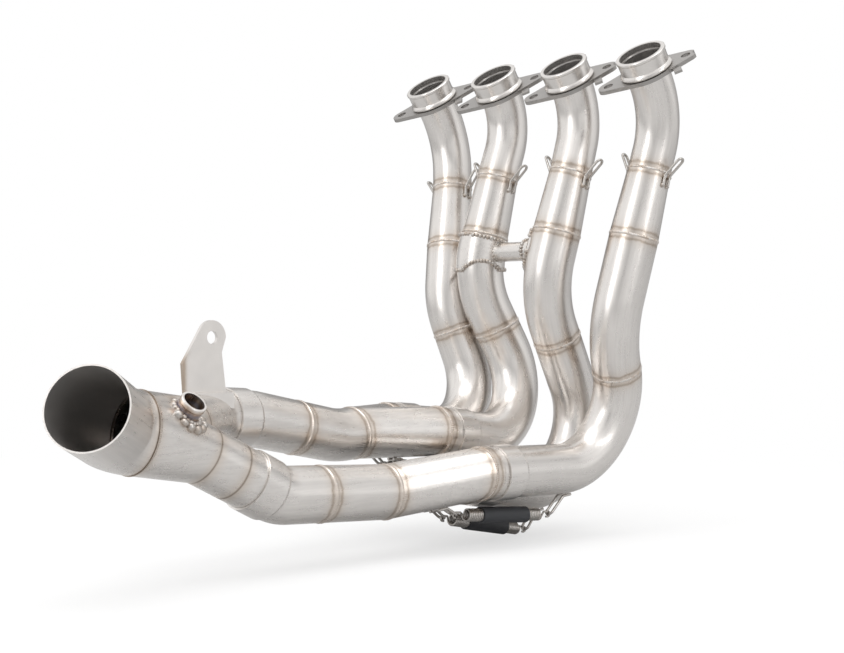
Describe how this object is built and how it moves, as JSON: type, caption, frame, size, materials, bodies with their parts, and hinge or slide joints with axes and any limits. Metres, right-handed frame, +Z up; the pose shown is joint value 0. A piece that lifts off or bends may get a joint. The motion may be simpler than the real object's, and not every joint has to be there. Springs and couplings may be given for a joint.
{
  "type": "motorcycle exhaust header",
  "caption": "Exhaust header of a motorcycle: bent primary pipes gather in pairs and then in one outlet, with sprung slip joints and a flange plate at each port.",
  "frame": {"origin": "middle of the row of ports, in the plane of the collars' mouths", "axes": "+X along the row of ports, from port 1 to port 4; +Y forward, away from the outlet; +Z up"},
  "size_m": [0.33, 0.5991, 0.4343],
  "materials": {
    "tube_steel": "satin stainless steel, brushed round the pipe, tinted by heat at the welds",
    "collar_steel": "turned and polished",
    "flange_steel": "matte, cut plate",
    "bracket_steel": "satin",
    "spring_steel": "bright wire",
    "spring_sleeve_rubber": "matte silicone"
  },
  "bodies": {
    "root": {"crossover_pipe": "tube_steel", "crossover_saddle": "tube_steel", "crossover_socket": "tube_steel", "far_branch": "tube_steel", "far_collector": "tube_steel", "far_rear_sleeve": "tube_steel", "far_secondary_front": "tube_steel", "far_secondary_rear": "tube_steel", "final_merge": "tube_steel", "flange_plate_1": "flange_steel", "flange_plate_2": "flange_steel", "flange_plate_3": "flange_steel", "flange_plate_4": "flange_steel", "front_spring_loops": "spring_steel", "head_spring_loops_1": "spring_steel", "head_spring_loops_2": "spring_steel", "head_spring_loops_3": "spring_steel", "head_spring_loops_4": "spring_steel", "joint_spring_1": "spring_steel", "joint_spring_2": "spring_steel", "joint_spring_3": "spring_steel", "joint_spring_4": "spring_steel", "near_branch": "tube_steel", "near_collector": "tube_steel", "near_rear_sleeve": "tube_steel", "near_secondary_front": "tube_steel", "near_secondary_rear": "tube_steel", "outlet_pipe": "tube_steel", "port_collar_1": "collar_steel", "port_collar_2": "collar_steel", "port_collar_3": "collar_steel", "port_collar_4": "collar_steel", "primary_bend_1": "tube_steel", "primary_bend_2": "tube_steel", "primary_bend_3": "tube_steel", "primary_bend_4": "tube_steel", "primary_cone_1": "tube_steel", "primary_cone_2": "tube_steel", "primary_cone_3": "tube_steel", "primary_cone_4": "tube_steel", "primary_elbow_1": "tube_steel", "primary_elbow_2": "tube_steel", "primary_elbow_3": "tube_steel", "primary_elbow_4": "tube_steel", "rear_spring_loops": "spring_steel", "sensor_bung": "bracket_steel", "slip_sleeve_1": "tube_steel", "slip_sleeve_2": "tube_steel", "slip_sleeve_3": "tube_steel", "slip_sleeve_4": "tube_steel", "spring_sleeve_1": "spring_sleeve_rubber", "spring_sleeve_2": "spring_sleeve_rubber", "spring_sleeve_3": "spring_sleeve_rubber", "spring_sleeve_4": "spring_sleeve_rubber", "stub_bend_1": "tube_steel", "stub_bend_2": "tube_steel", "stub_bend_3": "tube_steel", "stub_bend_4": "tube_steel", "support_bracket": "bracket_steel"}
  },
  "joints": []
}
